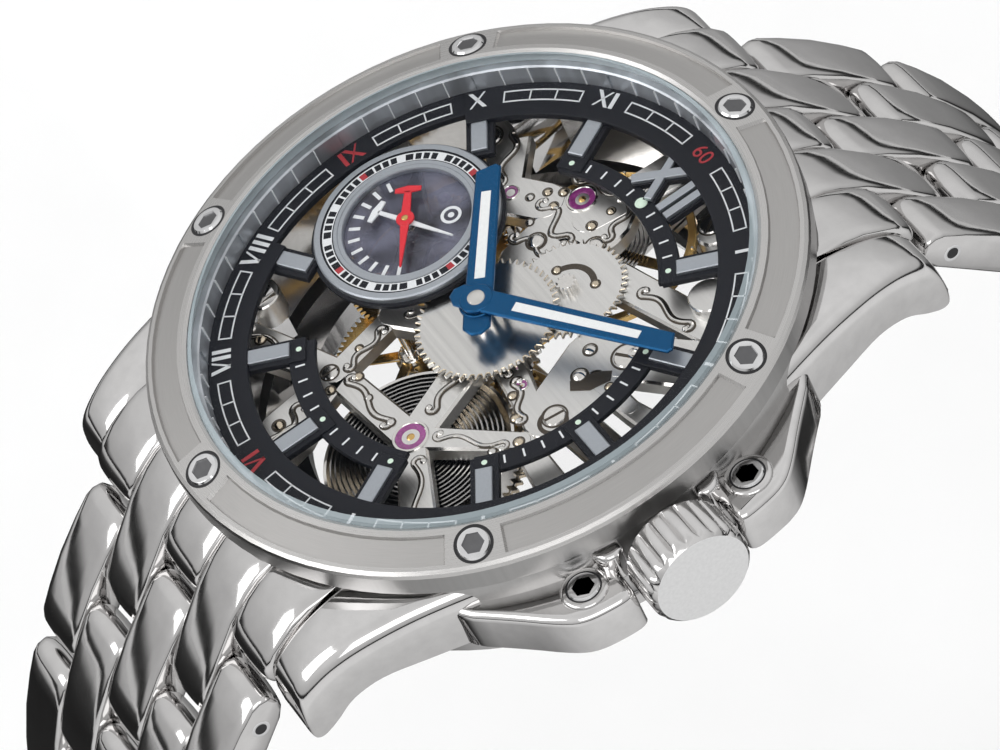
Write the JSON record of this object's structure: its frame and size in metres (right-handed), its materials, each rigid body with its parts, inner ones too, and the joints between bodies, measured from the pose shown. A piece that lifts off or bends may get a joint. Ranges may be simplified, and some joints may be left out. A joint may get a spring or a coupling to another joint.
{
  "type": "skeleton wristwatch",
  "caption": "Wristwatch with a skeletonised dial, small dial at nine, coupled hands and wheel train, pull-out crown and a hinged-row steel bracelet whose folding clasp stands open.",
  "frame": {"origin": "centre of the flat back glass, which lies on the wrist", "axes": "+Z out of the dial, +Y to twelve o'clock, +X to three o'clock and the crown"},
  "size_m": [0.0487, 0.0834, 0.1077],
  "materials": {
    "case_steel": "polished stainless steel",
    "sapphire": "clear, faint blue edge",
    "rehaut_steel": "brushed",
    "dial_black": "matt black",
    "dial_silver": "satin silver",
    "smoked_window": "smoked translucent",
    "movement_steel": "satin nickel, engraved",
    "bracelet_steel": "polished stainless steel",
    "screw_steel": "polished steel",
    "seal_rubber": "black",
    "blued_steel": "blued",
    "wheel_steel": "satin",
    "white_paint": "white",
    "gilt_brass": "gilt",
    "red_paint": "red"
  },
  "bodies": {
    "case": {"case_middle": "case_steel", "bezel": "case_steel", "crystal": "sapphire", "rehaut": "rehaut_steel", "back_ring": "case_steel", "back_glass": "sapphire", "dial_frame": "dial_black", "small_dial_ring": "dial_silver", "small_dial_window": "smoked_window", "main_plate": "movement_steel", "train_bridge": "movement_steel", "balance_cock": "movement_steel", "end_link_12": "bracelet_steel", "end_link_6": "bracelet_steel", "guard_screw_12": "screw_steel", "guard_screw_6": "screw_steel", "bezel_screw_1": "screw_steel", "bezel_screw_2": "screw_steel", "bezel_screw_3": "screw_steel", "bezel_screw_4": "screw_steel", "bezel_screw_5": "screw_steel", "bezel_screw_6": "screw_steel"},
    "row_12_01": {"link_12_01": "bracelet_steel"},
    "row_12_02": {"link_12_02": "bracelet_steel"},
    "row_12_03": {"link_12_03": "bracelet_steel"},
    "row_12_04": {"link_12_04": "bracelet_steel"},
    "row_12_05": {"link_12_05": "bracelet_steel"},
    "row_12_06": {"link_12_06": "bracelet_steel"},
    "row_12_07": {"link_12_07": "bracelet_steel"},
    "row_12_08": {"link_12_08": "bracelet_steel"},
    "row_12_09": {"link_12_09": "bracelet_steel"},
    "row_12_10": {"link_12_10": "bracelet_steel"},
    "row_6_01": {"link_6_01": "bracelet_steel"},
    "row_6_02": {"link_6_02": "bracelet_steel"},
    "row_6_03": {"link_6_03": "bracelet_steel"},
    "row_6_04": {"link_6_04": "bracelet_steel"},
    "row_6_05": {"link_6_05": "bracelet_steel"},
    "row_6_06": {"link_6_06": "bracelet_steel"},
    "row_6_07": {"link_6_07": "bracelet_steel"},
    "row_6_08": {"link_6_08": "bracelet_steel"},
    "row_6_09": {"link_6_09": "bracelet_steel"},
    "row_6_10": {"link_6_10": "bracelet_steel"},
    "clasp_cover": {"clasp_cover": "bracelet_steel"},
    "clasp_long_blade": {"clasp_long_blade": "bracelet_steel"},
    "clasp_short_blade": {"clasp_short_blade": "bracelet_steel"},
    "crown_seal": {"crown_seal": "seal_rubber"},
    "crown": {"crown": "case_steel"},
    "hour_hand": {"hour_hand": "blued_steel"},
    "minute_hand": {"minute_hand": "blued_steel"},
    "minute_wheel": {"minute_wheel": "wheel_steel"},
    "day_hand": {"day_hand": "white_paint"},
    "fourth_wheel": {"fourth_wheel": "gilt_brass", "seconds_hand": "red_paint"},
    "third_wheel": {"third_wheel": "gilt_brass"},
    "centre_wheel": {"centre_wheel": "gilt_brass"},
    "barrel": {"barrel": "wheel_steel"},
    "escape_wheel": {"escape_wheel": "wheel_steel"},
    "pallet_fork": {"pallet_fork": "wheel_steel"},
    "balance_wheel": {"balance_wheel": "gilt_brass"}
  },
  "joints": [
    {"name": "pin_12_01", "type": "hinge", "parent": "case", "child": "row_12_01", "pos_m": [0, 0.02685, 0.0019], "axis": [1, 0, 0], "range_deg": [0, 9]},
    {"name": "pin_12_02", "type": "hinge", "parent": "row_12_01", "child": "row_12_02", "pos_m": [0, 0.03108, -0.00263], "axis": [1, 0, 0], "range_deg": [0, 8.5]},
    {"name": "pin_12_03", "type": "hinge", "parent": "row_12_02", "child": "row_12_03", "pos_m": [0, 0.03459, -0.00774], "axis": [1, 0, 0], "range_deg": [0, 8.5]},
    {"name": "pin_12_04", "type": "hinge", "parent": "row_12_03", "child": "row_12_04", "pos_m": [0, 0.03731, -0.01332], "axis": [1, 0, 0], "range_deg": [0, 9]},
    {"name": "pin_12_05", "type": "hinge", "parent": "row_12_04", "child": "row_12_05", "pos_m": [0, 0.03912, -0.01925], "axis": [1, 0, 0], "range_deg": [0, 11]},
    {"name": "pin_12_06", "type": "hinge", "parent": "row_12_05", "child": "row_12_06", "pos_m": [0, 0.03977, -0.02541], "axis": [1, 0, 0], "range_deg": [0, 4]},
    {"name": "pin_12_07", "type": "hinge", "parent": "row_12_06", "child": "row_12_07", "pos_m": [0, 0.03998, -0.03161], "axis": [1, 0, 0], "range_deg": [0, 3]},
    {"name": "pin_12_08", "type": "hinge", "parent": "row_12_07", "child": "row_12_08", "pos_m": [0, 0.03988, -0.03781], "axis": [1, 0, 0], "range_deg": [0, 3]},
    {"name": "pin_12_09", "type": "hinge", "parent": "row_12_08", "child": "row_12_09", "pos_m": [0, 0.03944, -0.04399], "axis": [1, 0, 0], "range_deg": [0, 3]},
    {"name": "pin_12_10", "type": "hinge", "parent": "row_12_09", "child": "row_12_10", "pos_m": [0, 0.03869, -0.05015], "axis": [1, 0, 0], "range_deg": [0, 3]},
    {"name": "pin_6_01", "type": "hinge", "parent": "case", "child": "row_6_01", "pos_m": [0, -0.02685, 0.0019], "axis": [-1, 0, 0], "range_deg": [0, 9]},
    {"name": "pin_6_02", "type": "hinge", "parent": "row_6_01", "child": "row_6_02", "pos_m": [0, -0.03108, -0.00263], "axis": [-1, 0, 0], "range_deg": [0, 8.5]},
    {"name": "pin_6_03", "type": "hinge", "parent": "row_6_02", "child": "row_6_03", "pos_m": [0, -0.03459, -0.00774], "axis": [-1, 0, 0], "range_deg": [0, 8.5]},
    {"name": "pin_6_04", "type": "hinge", "parent": "row_6_03", "child": "row_6_04", "pos_m": [0, -0.03731, -0.01332], "axis": [-1, 0, 0], "range_deg": [0, 9]},
    {"name": "pin_6_05", "type": "hinge", "parent": "row_6_04", "child": "row_6_05", "pos_m": [0, -0.03912, -0.01925], "axis": [-1, 0, 0], "range_deg": [0, 11]},
    {"name": "pin_6_06", "type": "hinge", "parent": "row_6_05", "child": "row_6_06", "pos_m": [0, -0.03977, -0.02541], "axis": [-1, 0, 0], "range_deg": [0, 4]},
    {"name": "pin_6_07", "type": "hinge", "parent": "row_6_06", "child": "row_6_07", "pos_m": [0, -0.03998, -0.03161], "axis": [-1, 0, 0], "range_deg": [0, 3]},
    {"name": "pin_6_08", "type": "hinge", "parent": "row_6_07", "child": "row_6_08", "pos_m": [0, -0.03988, -0.03781], "axis": [-1, 0, 0], "range_deg": [0, 3]},
    {"name": "pin_6_09", "type": "hinge", "parent": "row_6_08", "child": "row_6_09", "pos_m": [0, -0.03944, -0.04399], "axis": [-1, 0, 0], "range_deg": [0, 3]},
    {"name": "pin_6_10", "type": "hinge", "parent": "row_6_09", "child": "row_6_10", "pos_m": [0, -0.03869, -0.05015], "axis": [-1, 0, 0], "range_deg": [0, 3]},
    {"name": "pin_12_11", "type": "hinge", "parent": "row_12_10", "child": "clasp_cover", "pos_m": [0, 0.03761, -0.05625], "axis": [1, 0, 0], "range_deg": [0, 8]},
    {"name": "clasp_long_hinge", "type": "hinge", "parent": "clasp_cover", "child": "clasp_long_blade", "pos_m": [0, 0.01912, -0.09229], "axis": [-1, 0, 0], "range_deg": [0, 83.9]},
    {"name": "clasp_short_hinge", "type": "hinge", "parent": "clasp_long_blade", "child": "clasp_short_blade", "pos_m": [0, -0.00662, -0.0759], "axis": [1, 0, 0], "range_deg": [0, 178.2]},
    {"name": "crown_pull", "type": "slide", "parent": "case", "child": "crown_seal", "axis": [1, 0, 0], "range_m": [0, 0.0012]},
    {"name": "crown_turn", "type": "hinge", "parent": "crown_seal", "child": "crown", "pos_m": [0.025, 0, 0.0073], "axis": [1, 0, 0], "continuous": true},
    {"name": "minute_turn", "type": "hinge", "parent": "case", "child": "minute_hand", "pos_m": [0, 0, 0.009], "axis": [0, 0, -1], "continuous": true},
    {"name": "hour_turn", "type": "hinge", "parent": "case", "child": "hour_hand", "pos_m": [0, 0, 0.009], "axis": [0, 0, -1], "continuous": true},
    {"name": "minute_wheel_turn", "type": "hinge", "parent": "case", "child": "minute_wheel", "pos_m": [0.0013, 0.00543, 0.0082], "axis": [0, 0, -1], "continuous": true},
    {"name": "day_turn", "type": "hinge", "parent": "case", "child": "day_hand", "pos_m": [-0.01, 0, 0.0099], "axis": [0, 0, -1], "continuous": true},
    {"name": "seconds_turn", "type": "hinge", "parent": "case", "child": "fourth_wheel", "pos_m": [-0.01, 0, 0.0055], "axis": [0, 0, -1], "continuous": true},
    {"name": "third_turn", "type": "hinge", "parent": "case", "child": "third_wheel", "pos_m": [-0.0058, -0.0044, 0.004], "axis": [0, 0, -1], "continuous": true},
    {"name": "centre_turn", "type": "hinge", "parent": "case", "child": "centre_wheel", "pos_m": [0, 0, 0.004], "axis": [0, 0, -1], "continuous": true},
    {"name": "barrel_turn", "type": "hinge", "parent": "case", "child": "barrel", "pos_m": [0.0039, -0.0085, 0.005], "axis": [0, 0, -1], "continuous": true},
    {"name": "escape_turn", "type": "hinge", "parent": "case", "child": "escape_wheel", "pos_m": [-0.009, 0.0064, 0.006], "axis": [0, 0, -1], "continuous": true},
    {"name": "fork_swing", "type": "hinge", "parent": "case", "child": "pallet_fork", "pos_m": [-0.0065, 0.008, 0.006], "axis": [0, 0, -1], "range_deg": [-5, 5]},
    {"name": "balance_swing", "type": "hinge", "parent": "case", "child": "balance_wheel", "pos_m": [-0.003, 0.0095, 0.0045], "axis": [0, 0, -1], "range_deg": [-150, 150]}
  ],
  "couplings": [
    {"joint": "clasp_short_hinge", "follows": "clasp_long_hinge", "ratio": 2.12},
    {"joint": "minute_wheel_turn", "follows": "minute_turn", "ratio": -0.41667},
    {"joint": "hour_turn", "follows": "minute_turn", "ratio": 0.083333},
    {"joint": "day_turn", "follows": "minute_turn", "ratio": 0.041667},
    {"joint": "third_turn", "follows": "seconds_turn", "ratio": -0.13333},
    {"joint": "centre_turn", "follows": "seconds_turn", "ratio": 0.016667},
    {"joint": "barrel_turn", "follows": "seconds_turn", "ratio": -0.004167},
    {"joint": "escape_turn", "follows": "seconds_turn", "ratio": -8}
  ]
}
